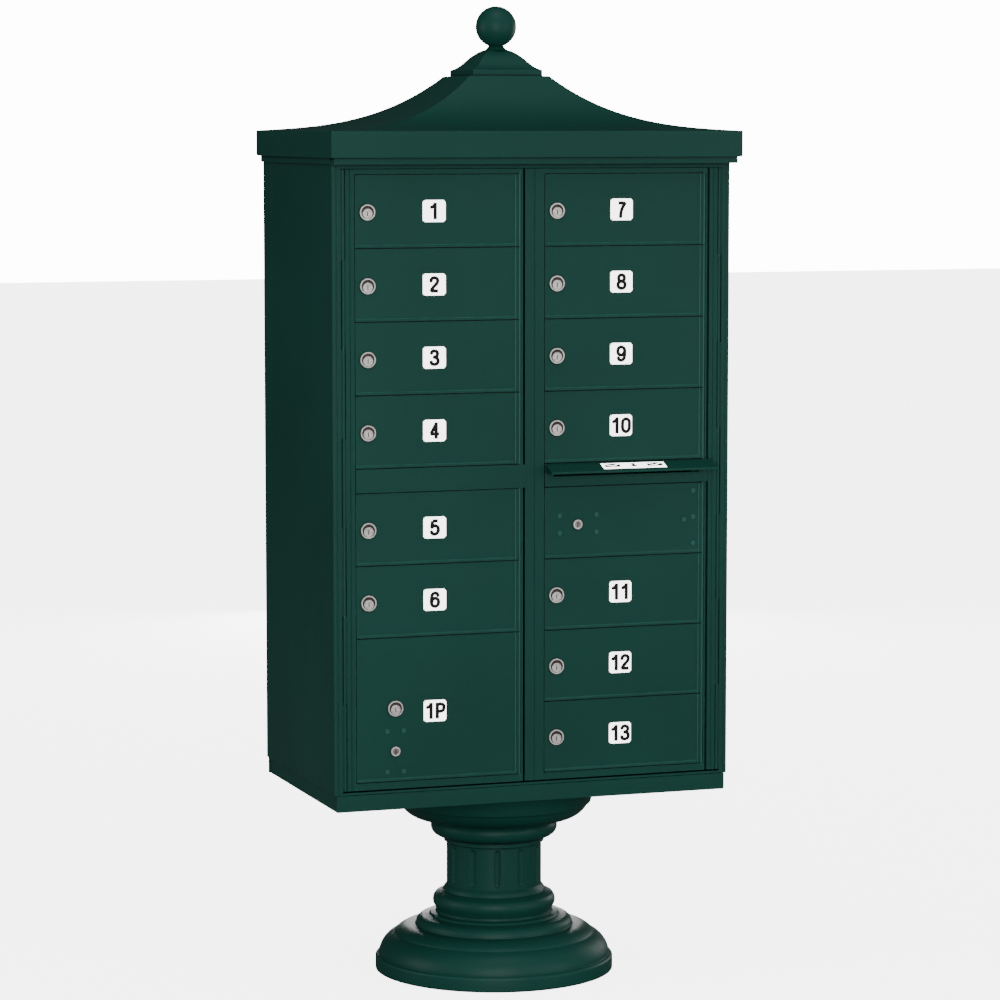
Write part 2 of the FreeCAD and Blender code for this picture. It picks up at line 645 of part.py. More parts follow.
def slot_hood():
    """Bent weather hood over the mail slot with a cheek at each end."""
    back, lip = HOOD_BACK, -HOOD_REACH
    sheet = [(back, HOOD_TOP), (lip, HOOD_LIP_TOP), (lip, HOOD_LIP_BOTTOM), (lip + 2, HOOD_LIP_BOTTOM),
             (lip + 2, HOOD_LIP_TOP - 1.5), (back, HOOD_TOP - 2.3)]
    cheek = [(back, HOOD_TOP), (lip, HOOD_LIP_TOP), (lip, HOOD_LIP_BOTTOM), (back, HOOD_LIP_BOTTOM)]
    return fused([level_prism(sheet, HOOD_LEFT, HOOD_RIGHT),
                  level_prism(cheek, HOOD_LEFT, HOOD_LEFT + 2),
                  level_prism(cheek, HOOD_RIGHT - 2, HOOD_RIGHT)])


def slot_label():
    """Thin plate lying on the slope of the hood."""
    run, fall = -HOOD_REACH - HOOD_BACK, HOOD_LIP_TOP - HOOD_TOP
    length = math.hypot(run, fall)
    along = (run / length, fall / length)
    outline = []
    for reach, lift in ((7.0, 0.0), (30.0, 0.0), (30.0, 0.7), (7.0, 0.7)):
        outline.append((HOOD_BACK + along[0] * reach + along[1] * lift,
                        HOOD_TOP + along[1] * reach - along[0] * lift))
    return level_prism(outline, 127.0, 252.0)


def slot_chute():
    """Sloping plate behind the slot that sends letters down into the compartment."""
    outline = [(STOP, 963.5), (27, 951.5), (27, 949.5), (STOP, 961.5)]
    return level_prism(outline, 42.0, 314.0)


def latch_handle():
    """Pinion, shaft and lever arm that drive the two latch rods."""
    pinion = round_bar(LATCH_X, LATCH_Z, PINION_RADIUS, 6, 12)
    shaft = round_bar(LATCH_X, LATCH_Z, 4.0, 11, 23)
    arm = panel(LATCH_X - 7, LATCH_X + 110, 21.5, 26.5, LATCH_Z - 7, LATCH_Z + 7)
    return fused([pinion, shaft, arm])


def latch_rod(direction):
    """Square rod beside the pinion; direction +1 is the upper rod, -1 the lower."""
    x = LATCH_X - direction * latch_offset()
    half = LATCH_ROD_WIDTH / 2
    near = LATCH_Z - direction * 12.0
    tip = LEAF_TOP - 3 if direction > 0 else LEAF_BOTTOM + 3
    return panel(x - half, x + half, 6, 12, min(near, tip), max(near, tip))


# ---- locks and doors ----------------------------------------------------------------------------
def lock_housing(x, z, bezel, plug, drop):
    """Fixed lock body: face ring in front of the door, barrel through it and a ring nut behind."""
    face = round_bar(x, z + drop, bezel, -BEZEL_PROUD, 0)
    rim = bezel - 2.2
    recess = round_bar(x, z + drop, rim, -BEZEL_PROUD, 1.2 - BEZEL_PROUD)
    boss = round_bar(x, z, plug + 1.6, -BEZEL_PROUD, 0)
    barrel = round_bar(x, z, plug + 2.0, 0, CAM_FRONT - 0.3)
    bore = round_bar(x, z, plug + PLUG_CLEARANCE, -10, 20)
    body = face.cut(recess).fuse(boss.common(face)).fuse(barrel).cut(bore)
    nut = round_bar(x, z, plug + 4.2, SHEET, SHEET + 3.5).cut(round_bar(x, z, plug + 2.0, 0, 20))
    return [body.removeSplitter(), nut]


def lock_plug(x, z, plug, length, cam_angle):
    """Turning plug with a keyway, its cam (angle in degrees from +X, seen from the front) and screw."""
    core = round_bar(x, z, plug, 0.4 - BEZEL_PROUD, CAM_FRONT)
    core = core.cut(panel(x - 0.8, x + 0.8, -5, 3, z - 4.2, z + 4.2))
    cam = panel(x - CAM_WIDTH / 2, x + length, CAM_FRONT, CAM_FRONT + CAM_THICKNESS,
                z - CAM_WIDTH / 2, z + CAM_WIDTH / 2)
    cam.rotate(V(x, 0, z), V(0, 1, 0), -cam_angle)
    screw = round_bar(x, z, 4.0, CAM_FRONT + CAM_THICKNESS, CAM_FRONT + CAM_THICKNESS + 2.5)
    return [core, cam, screw]


def number_plate(x, z):
    """Thin plate with rounded corners on the door face."""
    half_x, half_z = PLATE_WIDTH / 2, PLATE_HEIGHT / 2
    plate = panel(x - half_x, x + half_x, -1.0, 0, z - half_z, z + half_z)
    upright = [e for e in plate.Edges if e.BoundBox.YLength > 0.9]
    return plate.makeFillet(4.0, upright)


def studs(places):
    """Flat heads of the rivets that hold the parts behind a door sheet."""
    return [round_bar(x, z, 4.3, -1.0, 0.5) for x, z in places]


def rectangle_places(x, z, width, height):
    return [(x + sx * width / 2, z + sz * height / 2) for sx in (-1, 1) for sz in (-1, 1)]


def door(column, cell, locks, stud_places, plate_z):
    """One hinged door with its fixed lock bodies and, when plate_z is given, a number plate."""
    z0, z1 = cell[0] + DOOR_GAP / 2, cell[1] - DOOR_GAP / 2
    edge = COLUMN_EDGE[column]
    blank = door_blank(column, z0, z1, SHEET)
    stiffener = panel(edge + 14, edge + DOOR_TO_AXIS - 26, SHEET, SHEET + STIFFENER_DEPTH, z0 + 9, z1 - 9)
    for x, z, bezel, plug, drop in locks:
        stiffener = stiffener.cut(round_bar(x, z, plug + 5.0, 0, 10))
        blank = blank.cut(round_bar(x, z, plug + 2.1, -5, 10))
    leaf = blank.fuse([stiffener] + studs(stud_places)).removeSplitter()
    solids = [leaf]
    for lock in locks:
        solids += lock_housing(*lock)
    if plate_z is not None:
        solids.append(number_plate(edge + PLATE_FROM_EDGE, plate_z))
    return solids


def tenant_lock_place(column, cell):
    return COLUMN_EDGE[column] + LOCK_FROM_EDGE, (cell[0] + cell[1]) / 2 - 4.0


def export_tenant(number, column, cell):
    x, z = tenant_lock_place(column, cell)
    lock = (x, z, BEZEL_RADIUS, PLUG_RADIUS, PLUG_DROP)
    middle = (cell[0] + cell[1]) / 2
    export(f"door_{number}", door(column, cell, [lock], [], middle))
    export(f"lock_plug_{number}", lock_plug(x, z, PLUG_RADIUS, 28.0, -90.0))


def export_parcel(cell):
    """Double-height parcel door: customer lock above, carrier lock below."""
    x, z, carrier_z = -270.5, 547.5, 470.5
    locks = [(x, z, BEZEL_RADIUS, PLUG_RADIUS, PLUG_DROP),
             (x, carrier_z, SMALL_BEZEL_RADIUS, SMALL_PLUG_RADIUS, 0.0)]
    places = rectangle_places(x, carrier_z, 31.6, 75.0)
    export("parcel_door", door("left", cell, locks, places, 542.0))
    export("parcel_lock_plug", lock_plug(x, z, PLUG_RADIUS, 74.0, 90.0))
    export("parcel_carrier_lock_plug", lock_plug(x, carrier_z, SMALL_PLUG_RADIUS, 57.0, 0.0))


def export_outgoing(cell):
    """Outgoing-mail door with the carrier lock."""
    x, z = 85.0, 877.0
    places = rectangle_places(x + 1.2, z + 1.0, 72.6, 32.6)
    places += [(298.0, 878.5), (316.0, 883.6), (316.0, 932.6), (316.0, 834.5)]
    lock = (x, z, SMALL_BEZEL_RADIUS, SMALL_PLUG_RADIUS, 0.0)
    export("outgoing_mail_door", door("right", cell, [lock], places, None))
    export("outgoing_lock_plug", lock_plug(x, z, SMALL_PLUG_RADIUS, 63.5, 0.0))


def export_doors():
    left = door_cells("left")
    right = door_cells("right")
    for index, cell in enumerate(left[:6]):
        export_tenant(index + 1, "left", cell)
    export_parcel(left[6])
    for index, cell in enumerate(right[:4]):
        export_tenant(index + 7, "right", cell)
    export_outgoing(right[4])
    for index, cell in enumerate(right[5:]):
        export_tenant(index + 11, "right", cell)


def main():
    os.makedirs("parts", exist_ok=True)
    export("pedestal_base", [pedestal_base()])
    export("pedestal_shaft", [pedestal_shaft()])
    export("pedestal_capital", [pedestal_capital()])
    export("pedestal_post", pedestal_post())
    export("head_bolts", head_bolts())
    export("bottom_pan", [bottom_pan()])
    export("side_panel_left", [side_panel(-1)])
    export("side_panel_right", [side_panel(1)])
    export("back_panel", [back_panel()])
    export("front_rails", front_rails())
    export("cabinet_top", [cabinet_top()])
    export("compartment_partitions", compartment_partitions())
    export("compartment_shelves", compartment_shelves())
    export("roof_canopy", [roof_canopy()])
    export("roof_bed_mould", bed_mould())
    export("roof_cupola", [roof_cupola()])
    export("roof_finial", [roof_finial()])
    export("leaf_hinge_rods", leaf_hinge_rods())
    export("left_leaf_frame", leaf_frame("left"))
    export("right_leaf_frame", leaf_frame("right"))
    export("right_band_panel", [slotted_band_panel()])
    export("left_door_hinge_rod", [door_hinge_rod("left")])
    export("right_door_hinge_rod", [door_hinge_rod("right")])
    export("mail_slot_hood", [slot_hood()])
    export("mail_slot_label", [slot_label()])
    export("mail_slot_chute", [slot_chute()])
    export("latch_handle", [latch_handle()])
    export("latch_rod_upper", [latch_rod(1)])
    export("latch_rod_lower", [latch_rod(-1)])
    export_doors()


main()
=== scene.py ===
import json
import math

import bpy
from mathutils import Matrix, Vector

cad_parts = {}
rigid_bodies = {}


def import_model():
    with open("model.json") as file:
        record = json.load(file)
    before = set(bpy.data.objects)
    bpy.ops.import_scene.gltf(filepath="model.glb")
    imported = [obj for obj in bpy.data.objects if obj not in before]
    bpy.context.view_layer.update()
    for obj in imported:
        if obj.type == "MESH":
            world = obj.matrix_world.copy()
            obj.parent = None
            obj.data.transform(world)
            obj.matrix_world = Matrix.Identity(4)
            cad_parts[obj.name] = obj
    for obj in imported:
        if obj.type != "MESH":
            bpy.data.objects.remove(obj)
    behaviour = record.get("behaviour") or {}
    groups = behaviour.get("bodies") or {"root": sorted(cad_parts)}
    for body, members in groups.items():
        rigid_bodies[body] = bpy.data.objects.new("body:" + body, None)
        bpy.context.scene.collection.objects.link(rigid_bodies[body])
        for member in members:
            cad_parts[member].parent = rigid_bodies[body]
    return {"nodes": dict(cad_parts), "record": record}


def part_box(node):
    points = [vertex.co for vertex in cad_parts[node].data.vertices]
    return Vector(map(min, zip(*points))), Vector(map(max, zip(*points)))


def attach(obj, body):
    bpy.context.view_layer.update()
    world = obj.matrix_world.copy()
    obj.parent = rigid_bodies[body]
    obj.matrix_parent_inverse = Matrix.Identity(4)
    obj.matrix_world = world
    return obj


# Looks of the cluster mailbox unit, in metres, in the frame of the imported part.

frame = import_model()
nodes = frame["nodes"]
record = frame["record"]
joints = {j["name"]: j for j in record["behaviour"]["joints"]}


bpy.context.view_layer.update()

MM = 0.001
FRONT_Y = -228.6 * MM
DOOR_TO_AXIS = 315.35 * MM
PLATE_FROM_EDGE = 150.3 * MM
PLATE_HALF_X = 23.2 * MM
PLATE_HALF_Z = 21.7 * MM
PARCEL_PLATE_DROP = 5.85 * MM
BEAD_TO_AXIS = 8.1 * MM
BEAD_RADIUS = 1.7 * MM
BARREL_RADIUS = 2.7 * MM
STUD_PROUD = 1.0 * MM
BEZEL_PROUD = 3.2 * MM
LOCK_REACH = 17.2 * MM
LOCK_BARREL_REACH = 9.4 * MM
DOOR_SHEET = 3.0 * MM
STIFFENER_BACK = 5.0 * MM
TENANT_DOORS = ["door_%d" % n for n in range(1, 14)]
ALL_DOORS = TENANT_DOORS + ["parcel_door", "outgoing_mail_door"]
CARRIER_PLUGS = ("parcel_carrier_lock_plug", "outgoing_lock_plug")


# ---- materials ----------------------------------------------------------------------------------
class Shader:
    """Small builder around one node material."""

    def __init__(self, name):
        self.material = bpy.data.materials.new(name)
        self.material.use_nodes = True
        self.tree = self.material.node_tree
        self.tree.nodes.clear()
        self.output = self.add("ShaderNodeOutputMaterial")
        self.surface = self.add("ShaderNodeBsdfPrincipled")
        self.link(self.surface.outputs["BSDF"], self.output.inputs["Surface"])
        self.place = self.add("ShaderNodeTexCoord").outputs["Object"]

    def add(self, kind, **settings):
        node = self.tree.nodes.new(kind)
        for key, value in settings.items():
            setattr(node, key, value)
        return node

    def link(self, source, target):
        self.tree.links.new(source, target)

    def noise(self, scale, detail=3.0, roughness=0.5, stretch=None):
        """Noise over the object, optionally drawn out along some axes."""
        node = self.add("ShaderNodeTexNoise")
        node.inputs["Scale"].default_value = scale
        node.inputs["Detail"].default_value = detail
        node.inputs["Roughness"].default_value = roughness
        source = self.place
        if stretch:
            mapping = self.add("ShaderNodeMapping")
            mapping.inputs["Scale"].default_value = stretch
            self.link(self.place, mapping.inputs["Vector"])
            source = mapping.outputs["Vector"]
        self.link(source, node.inputs["Vector"])
        return node.outputs["Fac"]

    def remap(self, source, low, high, to_low, to_high):
        node = self.add("ShaderNodeMapRange")
        limits = (("From Min", low), ("From Max", high), ("To Min", to_low), ("To Max", to_high))
        for socket, value in limits:
            node.inputs[socket].default_value = value
        self.link(source, node.inputs["Value"])
        return node.outputs["Result"]

    def mix(self, factor, first, second):
        """Mix of two colours, each given as a tuple or as a socket."""
        node = self.add("ShaderNodeMix", data_type="RGBA")
        self.link(factor, node.inputs[0])
        for socket, value in ((node.inputs[6], first), (node.inputs[7], second)):
            if isinstance(value, tuple):
                socket.default_value = (*value, 1.0)
            else:
                self.link(value, socket)
        return node.outputs[2]

    def edges(self, radius, low=0.02, high=0.25):
        """Mask of outward edges: how far the rounded normal leaves the true one."""
        bevel = self.add("ShaderNodeBevel", samples=6)
        bevel.inputs["Radius"].default_value = radius
        geometry = self.add("ShaderNodeNewGeometry")
        dot = self.add("ShaderNodeVectorMath", operation="DOT_PRODUCT")
        self.link(bevel.outputs["Normal"], dot.inputs[0])
        self.link(geometry.outputs["True Normal"], dot.inputs[1])
        return self.remap(dot.outputs["Value"], 1.0 - low, 1.0 - high, 0.0, 1.0)

    def creases(self, distance):
        """Near 0 in grooves and inside corners, 1 on open faces."""
        occlusion = self.add("ShaderNodeAmbientOcclusion", samples=6)
        occlusion.inputs["Distance"].default_value = distance
        return self.remap(occlusion.outputs["AO"], 0.35, 0.92, 0.0, 1.0)

    def multiply(self, first, second):
        node = self.add("ShaderNodeMath", operation="MULTIPLY")
        self.link(first, node.inputs[0])
        if isinstance(second, float):
            node.inputs[1].default_value = second
        else:
            self.link(second, node.inputs[1])
        return node.outputs["Value"]

    def bump(self, height, strength, distance):
        node = self.add("ShaderNodeBump")
        node.inputs["Strength"].default_value = strength
        node.inputs["Distance"].default_value = distance
        self.link(height, node.inputs["Height"])
        self.link(node.outputs["Normal"], self.surface.inputs["Normal"])

    def color(self, source):
        self.link(source, self.surface.inputs["Base Color"])

    def rough(self, source):
        self.link(source, self.surface.inputs["Roughness"])

    def set(self, **values):
        for key, value in values.items():
            self.surface.inputs[key.replace("_", " ")].default_value = value


def powder_coat(name, color, texture_scale, bump_strength, shine=0.12):
    """Satin powder coat: fine orange peel, faint tone drift, dust film, edges worn lighter with a painted
    highlight on them, and painted shade in grooves and inside corners.
    """
    s = Shader(name)
    drift = s.noise(2.6, 4.0)
    speck = s.noise(420.0, 2.0)
    deep = tuple(c * 0.93 for c in color)
    pale = tuple(c * 1.07 for c in color)
    tone = s.mix(s.remap(drift, 0.35, 0.65, 0.0, 1.0), deep, pale)
    bright = tuple(c * 1.5 + 0.002 for c in color)
    tone = s.mix(s.remap(speck, 0.62, 0.80, 0.0, 0.30), tone, bright)
    # Outward edges lighter in patches: partly wear, partly a painted highlight along the edges.
    wear_and_highlight = s.multiply(s.edges(0.0014), s.remap(s.noise(38.0, 5.0, 0.6), 0.36, 0.62, 0.35, 0.95))
    tone = s.mix(wear_and_highlight, tone, tuple(c * 2.9 + 0.004 for c in color))
    # Painted shade: the colour falls to a tenth in grooves, gaps and inside corners.
    tone = s.mix(s.creases(0.006), tuple(c * 0.10 for c in color), tone)
    s.color(tone)
    s.rough(s.remap(s.noise(9.0, 4.0, 0.5), 0.3, 0.7, 0.42, 0.47))
    s.bump(s.noise(texture_scale, 2.0, 0.4), bump_strength, 0.0003)
    s.set(Metallic=0.0, Specular_IOR_Level=shine)
    return s.material


def plated_metal(name, color, rough_low, rough_high, brushed, metallic=1.0):
    """Plated or bare metal with brush lines, smudges, a painted highlight on its edges and painted shade in
    its recesses.
    """
    s = Shader(name)
    lines = s.noise(260.0, 3.0, 0.6, brushed)
    smudge = s.noise(60.0, 4.0, 0.6)
    tone = s.mix(s.remap(smudge, 0.35, 0.7, 0.0, 1.0), tuple(c * 0.82 for c in color), color)
    # Painted highlight: outward edges a quarter brighter.
    tone = s.mix(s.multiply(s.edges(0.0005), 0.6), tone, tuple(min(1.0, c * 1.25) for c in color))
    # Painted shade: the colour falls near black in grooves, recesses and inside corners.
    tone = s.mix(s.creases(0.0022), tuple(c * 0.05 for c in color), tone)
    s.color(tone)
    s.rough(s.remap(lines, 0.3, 0.7, rough_low, rough_high))
    s.bump(lines, 0.12, 0.0001)
    s.set(Metallic=metallic)
    return s.material


def printed_plate(name, color, rough, glow=0.0, shine=0.5):
    """Smooth plate or film with faint soiling towards grey; its glow reaches the camera only."""
    s = Shader(name)
    dirt = s.remap(s.noise(45.0, 5.0, 0.65), 0.45, 0.75, 0.0, 0.5)
    tone = s.mix(dirt, color, tuple(c * 0.86 for c in color))
    tone = s.mix(s.multiply(s.edges(0.0005), 0.5), tone, tuple(c * 0.7 for c in color))
    s.color(tone)
    s.rough(s.remap(s.noise(120.0, 3.0), 0.3, 0.7, rough - 0.06, rough + 0.08))
    s.bump(s.noise(700.0, 2.0), 0.05, 0.0001)
    if glow:
        rays = s.add("ShaderNodeLightPath")
        s.link(tone, s.surface.inputs["Emission Color"])
        s.link(s.multiply(rays.outputs["Is Camera Ray"], glow), s.surface.inputs["Emission Strength"])
    s.set(Specular_IOR_Level=shine)
    return s.material


GREEN = (0.0045, 0.0430, 0.0325)
PLATE_GLOW = 4.5
LOOKS = {
    "green_paint": powder_coat("green_powder_coat", GREEN, 780.0, 0.16),
    "cast_green": powder_coat("green_cast_coat", GREEN, 520.0, 0.26),
    "lock_metal": plated_metal("satin_nickel", (0.92, 0.87, 0.85), 0.18, 0.32, (1.0, 1.0, 6.0), 0.62),
    "bright_steel": plated_metal("zinc_steel", (0.50, 0.51, 0.53), 0.30, 0.48, (1.0, 1.0, 0.1)),
    "bare_aluminium": plated_metal("mill_aluminium", (0.66, 0.67, 0.69), 0.34, 0.50, (0.08, 1.0, 1.0)),
    "post_steel": powder_coat("black_primer", (0.020, 0.020, 0.022), 600.0, 0.25),
    "white_label": printed_plate("white_film", (0.90, 0.90, 0.89), 0.42, PLATE_GLOW),
}
# Near-black nickel for the floors of lock recesses and the key slots: painted shade.
RECESS_SHADE_METAL = plated_metal("nickel_painted_shade", (0.060, 0.050, 0.048), 0.40, 0.60, (1.0, 1.0, 6.0))
# Darker nickel on the fronts of the carrier lock plugs: painted shade.
SHADED_METAL = plated_metal("shaded_nickel", (0.34, 0.30, 0.29), 0.26, 0.42, (1.0, 1.0, 6.0))
# Lighter, glossier green for hinge barrels, beads and stud heads: the extra shine stands for polish from use;
# the lighter colour is a painted highlight.
HIGHLIGHT_COAT = powder_coat("green_coat_painted_highlight", tuple(c * 1.6 for c in GREEN), 780.0, 0.12, shine=0.22)
PLATE = printed_plate("white_plate", (0.90, 0.90, 0.89), 0.34, PLATE_GLOW)
INK = printed_plate("black_ink", (0.010, 0.009, 0.009), 0.55, shine=0.1)
slot_of = {s["node"]: s["material_slot"] for s in record["subparts"]}


# ---- surfaces of the CAD nodes ------------------------------------------------------------------
def dress(obj, material, bevel):
    """Gives one CAD node its material, soft edges and smooth curved faces."""
    mesh = obj.data
    if "custom_normal" in mesh.attributes:
        mesh.attributes.remove(mesh.attributes["custom_normal"])
    mesh.materials.clear()
    mesh.materials.append(material)
    for polygon in mesh.polygons:
        polygon.use_smooth = True
        polygon.material_index = 0
    weld = obj.modifiers.new("weld", "WELD")
    weld.merge_threshold = 0.01 * MM
    round_off = obj.modifiers.new("soft_edges", "BEVEL")
    round_off.width = bevel
    round_off.segments = 2
    round_off.limit_method = "ANGLE"
    round_off.angle_limit = math.radians(35)
    round_off.use_clamp_overlap = True
    weighted = obj.modifiers.new("flat_shading", "WEIGHTED_NORMAL")
    weighted.mode = "FACE_AREA"
    weighted.weight = 80


SOFT_EDGE = 0.6 * MM
SOFT_EDGES = {"lock_metal": 0.25 * MM, "bright_steel": 0.3 * MM, "cast_green": 1.2 * MM,
              "white_label": 0.1 * MM}
for name, obj in nodes.items():
    dress(obj, LOOKS[slot_of[name]], SOFT_EDGES.get(slot_of[name], SOFT_EDGE))


def plate_centre(door):
    """Middle (x, z) of the number plate of one door."""
    place = joints[door + "_hinge"]["pos_m"]
    drop = PARCEL_PLATE_DROP if door == "parcel_door" else 0.0
    return place[0] - DOOR_TO_AXIS + PLATE_FROM_EDGE, place[2] - drop


def lock_axes(door):
    """Places (x, z) of the lock plugs in one door."""
    return [(j["pos_m"][0], j["pos_m"][2]) for j in joints.values()
            if j["parent"] == door and j["type"] == "hinge"]


def is_sheet_back(polygon):
    """True for the back face of the door sheet or its stiffener."""
    depth = polygon.center.y - FRONT_Y
    on_back = min(abs(depth - DOOR_SHEET), abs(depth - STIFFENER_BACK)) < 0.2 * MM
    return polygon.normal.y > 0.9 and on_back


def belongs_to_lock(polygon, lock):
    """True for faces of a lock body or its ring nut."""
    depth = polygon.center.y - FRONT_Y
    reach = math.hypot(polygon.center.x - lock[0], polygon.center.z - lock[1])
    outside_sheet = depth < -0.2 * MM or depth > DOOR_SHEET + 0.1 * MM
    close = reach < LOCK_REACH and (outside_sheet or reach < LOCK_BARREL_REACH)
    return close and not is_sheet_back(polygon)


def is_sunk_ring(polygon):
    """True for the floor of the recess in a lock face."""
    depth = polygon.center.y - FRONT_Y
    return polygon.normal.y < -0.9 and 0.6 * MM - BEZEL_PROUD < depth < 0.0


def paint_door(door):
    """Lock bodies in nickel, the floors of their recesses in painted shade, and the number plate in white,
    picked out by where they sit.
    """
    mesh = nodes[door].data
    for material in (LOOKS["lock_metal"], PLATE, RECESS_SHADE_METAL):
        mesh.materials.append(material)
    plate = plate_centre(door)
    locks = lock_axes(door)
    for polygon in mesh.polygons:
        x, y, z = polygon.center
        in_plate = abs(x - plate[0]) < PLATE_HALF_X and abs(z - plate[1]) < PLATE_HALF_Z
        if y < FRONT_Y - 0.1 * MM and in_plate and door != "outgoing_mail_door":
            polygon.material_index = 2
        if any(belongs_to_lock(polygon, lock) for lock in locks):
            # The sunk ring of a lock face gets painted shade; the rest of the lock body gets nickel.
            polygon.material_index = 3 if is_sunk_ring(polygon) else 1


def paint_where(node, material, chosen):
    """Gives the polygons of one node that pass a test on their centre and normal another material."""
    mesh = nodes[node].data
    index = len(mesh.materials)
    mesh.materials.append(material)
    for polygon in mesh.polygons:
        if chosen(polygon.center, polygon.normal):
            polygon.material_index = index


def paint_rubbed_parts(door):
    """Hinge barrel, bead and stud heads in the lighter coat, a painted highlight on these raised parts, with
    more shine where hands and keys polish the coat.
    """
    axis = joints[door + "_hinge"]["pos_m"][0]
    plate = plate_centre(door)

    def rubbed(place, normal):
        proud = FRONT_Y - place.y
        on_bead = abs(place.x - axis + BEAD_TO_AXIS) < BEAD_RADIUS
        on_barrel = abs(place.x - axis) < BARREL_RADIUS
        off_plate = math.hypot(place.x - plate[0], place.z - plate[1]) > 24 * MM
        on_stud = abs(proud - STUD_PROUD) < 0.05 * MM and normal.y < -0.99 and off_plate
        return on_stud or (proud > 0.2 * MM and (on_bead or on_barrel))

    # Painted highlight on the raised hinge and stud parts.
    paint_where(door, HIGHLIGHT_COAT, rubbed)


def paint_keyway(plug):
    """Painted shade inside the key slot."""
    axis = joints[plug + "_turn"]["pos_m"]

    def inside(place, normal):
        near = abs(place.x - axis[0]) < 0.9 * MM and abs(place.z - axis[2]) < 4.3 * MM
        return near and FRONT_Y - 2.6 * MM < place.y < FRONT_Y + 3.1 * MM

    paint_where(plug, RECESS_SHADE_METAL, inside)


for door in ALL_DOORS:
    paint_door(door)
    paint_rubbed_parts(door)
for plug in CARRIER_PLUGS:
    # Painted shade: the fronts of the carrier lock plugs in darker nickel.
    paint_where(plug, SHADED_METAL, lambda place, normal: place.y < FRONT_Y)
for plug in [name for name in nodes if "lock_plug" in name]:
    paint_keyway(plug)


# ---- number plates and label --------------------------------------------------------------------
GLYPHS = {
    "0": [[(0.28, 0.95), (0.08, 0.80), (0.05, 0.50), (0.08, 0.20), (0.28, 0.05), (0.48, 0.20),
           (0.51, 0.50), (0.48, 0.80), (0.28, 0.95)]],
    "1": [[(0.09, 0.74), (0.22, 0.80), (0.34, 0.93)], [(0.34, 1.05), (0.34, -0.05)]],
    "2": [[(0.06, 0.70), (0.11, 0.88), (0.28, 0.95), (0.46, 0.86), (0.48, 0.68), (0.38, 0.50),
           (0.20, 0.30), (0.07, 0.07)], [(0.07, 0.07), (0.52, 0.07)]],
    "3": [[(0.07, 0.78), (0.14, 0.91), (0.28, 0.95), (0.44, 0.88), (0.47, 0.72), (0.40, 0.58), (0.24, 0.53)],
          [(0.24, 0.53), (0.42, 0.48), (0.51, 0.30), (0.45, 0.12), (0.28, 0.05), (0.12, 0.10), (0.05, 0.24)]],
    "4": [[(0.38, 0.95), (0.04, 0.28)], [(0.00, 0.28), (0.58, 0.28)], [(0.38, 1.05), (0.38, -0.05)]],
    "5": [[(0.48, 0.94), (0.14, 0.94)], [(0.14, 0.94), (0.08, 0.50)],
          [(0.08, 0.50), (0.18, 0.59), (0.30, 0.62), (0.46, 0.53), (0.51, 0.34), (0.44, 0.13), (0.27, 0.05),
           (0.12, 0.10), (0.05, 0.24)]],
    "6": [[(0.48, 0.76), (0.42, 0.90), (0.28, 0.95), (0.11, 0.84), (0.05, 0.50), (0.08, 0.18), (0.28, 0.05),
           (0.46, 0.14), (0.51, 0.33), (0.46, 0.52), (0.29, 0.60), (0.13, 0.52), (0.06, 0.36)]],
    "7": [[(0.06, 0.93), (0.51, 0.93)], [(0.51, 0.93), (0.34, 0.64), (0.24, 0.34), (0.20, -0.05)]],
    "8": [[(0.28, 0.53), (0.12, 0.60), (0.09, 0.75), (0.14, 0.90), (0.28, 0.95), (0.42, 0.90), (0.47, 0.75),
           (0.43, 0.60), (0.28, 0.53), (0.09, 0.44), (0.05, 0.28), (0.11, 0.11), (0.28, 0.05), (0.45, 0.11),
           (0.51, 0.28), (0.47, 0.44), (0.28, 0.53)]],
    "9": [[(0.08, 0.24), (0.14, 0.10), (0.28, 0.05), (0.45, 0.16), (0.51, 0.50), (0.48, 0.82), (0.28, 0.95),
           (0.10, 0.86), (0.05, 0.67), (0.10, 0.48), (0.27, 0.40), (0.43, 0.48), (0.50, 0.64)]],
    "P": [[(0.09, 1.04), (0.09, -0.05)],
          [(0.09, 0.93), (0.36, 0.93), (0.50, 0.84), (0.52, 0.68), (0.47, 0.53), (0.34, 0.45), (0.09, 0.45)]],
}
# Lengths of the numerals are in glyph heights, except where they carry a unit.
GLYPH_WIDTH = 0.56
GLYPH_PITCH = 0.66
GLYPH_STRETCH = 1.08
STROKE_HALF = 0.114
NUMERAL_HEIGHT = 27.5 * MM
NUMERAL_LIFT = 1.15 * MM
FACE_STEP = 0.002 * MM
CURVE_STEPS = 4
DISC_CORNERS = 12


def rounded(points):
    """Points of a smooth line through a polyline; a straight stroke is left as it is."""
    if len(points) < 3:
        return points
    out = []
    last = len(points) - 1
    for i in range(last):
        around = (points[max(0, i - 1)], points[i], points[i + 1], points[min(last, i + 2)])
        for step in range(CURVE_STEPS):
            out.append(tuple(spline(step / CURVE_STEPS, *(point[k] for point in around)) for k in (0, 1)))
    return out + [points[last]]


def spline(t, before, a, b, after):
    """Value between a and b on the smooth curve that also looks at the values before and after."""
    bend = 3 * (a - b) + after - before
    return a + 0.5 * t * (b - before + t * (2 * before - 5 * a + 4 * b - after + t * bend))


def stroke_faces(points, half):
    """Outlines of the quads and joint discs that make one thick stroke."""
    faces = []
    for (x0, z0), (x1, z1) in zip(points, points[1:]):
        length = math.hypot(x1 - x0, z1 - z0)
        nx, nz = -(z1 - z0) / length * half, (x1 - x0) / length * half
        faces.append([(x0 + nx, z0 + nz), (x0 - nx, z0 - nz), (x1 - nx, z1 - nz), (x1 + nx, z1 + nz)])
    turns = [2 * math.pi * i / DISC_CORNERS for i in range(DISC_CORNERS)]
    for x, z in points[1:-1]:
        faces.append([(x + half * math.cos(a), z + half * math.sin(a)) for a in turns])
    return faces


